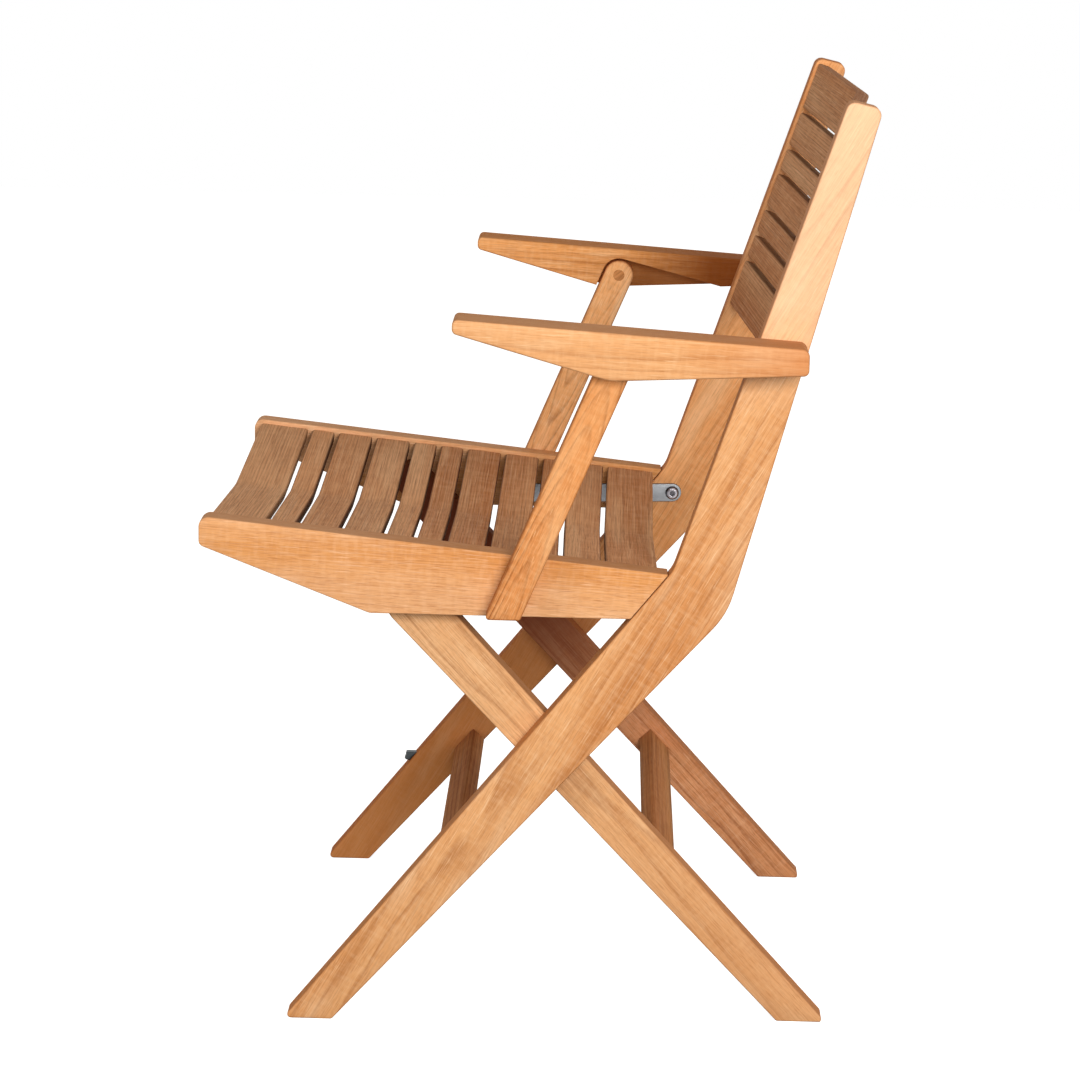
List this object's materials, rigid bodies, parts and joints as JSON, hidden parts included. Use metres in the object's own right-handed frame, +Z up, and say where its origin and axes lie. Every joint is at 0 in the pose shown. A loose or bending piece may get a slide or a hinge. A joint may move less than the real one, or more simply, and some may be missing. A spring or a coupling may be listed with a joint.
{
  "type": "folding armchair",
  "caption": "Folding wooden armchair with crossed bent legs, a dished slatted seat and back, and slim arms on struts that fold up with the seat.",
  "frame": {"origin": "on the floor, at the middle of the chair's width and depth", "axes": "+X across the chair to the sitter's left, +Y to the rear, +Z up; the chair faces -Y"},
  "size_m": [0.586, 0.6113, 0.871],
  "materials": {
    "frame_teak": "golden teak, planed and oiled, satin",
    "slat_teak": "browner, slightly weathered teak, planed and oiled, satin",
    "steel": "stainless steel, brushed plates and smooth button heads"
  },
  "bodies": {
    "frame": {"arm_pivot_pin_left": "steel", "arm_pivot_pin_right": "steel", "back_slat_1": "slat_teak", "back_slat_2": "slat_teak", "back_slat_3": "slat_teak", "back_slat_4": "slat_teak", "back_slat_5": "slat_teak", "back_slat_6": "slat_teak", "back_slat_7": "slat_teak", "crossing_pin_left": "steel", "crossing_pin_right": "steel", "crossing_washer_left": "steel", "crossing_washer_right": "steel", "fold_catch": "steel", "front_stretcher": "frame_teak", "link_rear_bolt_left": "steel", "link_rear_bolt_right": "steel", "stile_leg_left": "frame_teak", "stile_leg_right": "frame_teak"},
    "rear_legs": {"leg_top_pin_left": "steel", "leg_top_pin_right": "steel", "rear_leg_left": "frame_teak", "rear_leg_right": "frame_teak", "rear_stretcher": "frame_teak"},
    "seat": {"link_front_bolt_left": "steel", "link_front_bolt_right": "steel", "seat_rail_left": "frame_teak", "seat_rail_right": "frame_teak", "seat_slat_1": "slat_teak", "seat_slat_10": "slat_teak", "seat_slat_11": "slat_teak", "seat_slat_2": "slat_teak", "seat_slat_3": "slat_teak", "seat_slat_4": "slat_teak", "seat_slat_5": "slat_teak", "seat_slat_6": "slat_teak", "seat_slat_7": "slat_teak", "seat_slat_8": "slat_teak", "seat_slat_9": "slat_teak", "strut_foot_pin_left": "steel", "strut_foot_pin_right": "steel"},
    "link_left": {"link_plate_left": "steel"},
    "link_right": {"link_plate_right": "steel"},
    "arm_left": {"armrest_left": "frame_teak"},
    "arm_right": {"armrest_right": "frame_teak"},
    "strut_left": {"arm_strut_left": "frame_teak", "strut_plug_left": "frame_teak", "strut_top_pin_left": "steel"},
    "strut_right": {"arm_strut_right": "frame_teak", "strut_plug_right": "frame_teak", "strut_top_pin_right": "steel"}
  },
  "joints": [
    {"name": "seat_fold", "type": "hinge", "parent": "link_left", "child": "seat", "pos_m": [0.2196, -0.0222, 0.41148], "axis": [1, 0, 0], "range_deg": [0, 168.9]},
    {"name": "link_left_turn", "type": "hinge", "parent": "frame", "child": "link_left", "pos_m": [0.2196, 0.1357, 0.41558], "axis": [-1, 0, 0], "range_deg": [0, 98.1]},
    {"name": "link_right_turn", "type": "hinge", "parent": "frame", "child": "link_right", "pos_m": [-0.2196, 0.1357, 0.41558], "axis": [-1, 0, 0], "range_deg": [0, 98.1]},
    {"name": "rear_legs_turn", "type": "hinge", "parent": "frame", "child": "rear_legs", "pos_m": [0, 0.01491, 0.26283], "axis": [-1, 0, 0], "range_deg": [0, 65.8]},
    {"name": "arm_left_turn", "type": "hinge", "parent": "frame", "child": "arm_left", "pos_m": [0.25, 0.23032, 0.64441], "axis": [-1, 0, 0], "range_deg": [0, 98.1]},
    {"name": "arm_right_turn", "type": "hinge", "parent": "frame", "child": "arm_right", "pos_m": [-0.25, 0.23032, 0.64441], "axis": [-1, 0, 0], "range_deg": [0, 98.1]},
    {"name": "strut_left_turn", "type": "hinge", "parent": "arm_left", "child": "strut_left", "pos_m": [0.25, 0.07242, 0.64031], "axis": [1, 0, 0], "range_deg": [0, 98.1]},
    {"name": "strut_right_turn", "type": "hinge", "parent": "arm_right", "child": "strut_right", "pos_m": [-0.25, 0.07242, 0.64031], "axis": [1, 0, 0], "range_deg": [0, 98.1]}
  ],
  "couplings": [
    {"joint": "link_left_turn", "follows": "seat_fold", "ratio": 0.58001},
    {"joint": "link_right_turn", "follows": "seat_fold", "ratio": 0.58001},
    {"joint": "rear_legs_turn", "follows": "seat_fold", "ratio": 0.38866},
    {"joint": "arm_left_turn", "follows": "seat_fold", "ratio": 0.58001},
    {"joint": "arm_right_turn", "follows": "seat_fold", "ratio": 0.58001},
    {"joint": "strut_left_turn", "follows": "seat_fold", "ratio": 0.58001},
    {"joint": "strut_right_turn", "follows": "seat_fold", "ratio": 0.58001}
  ]
}
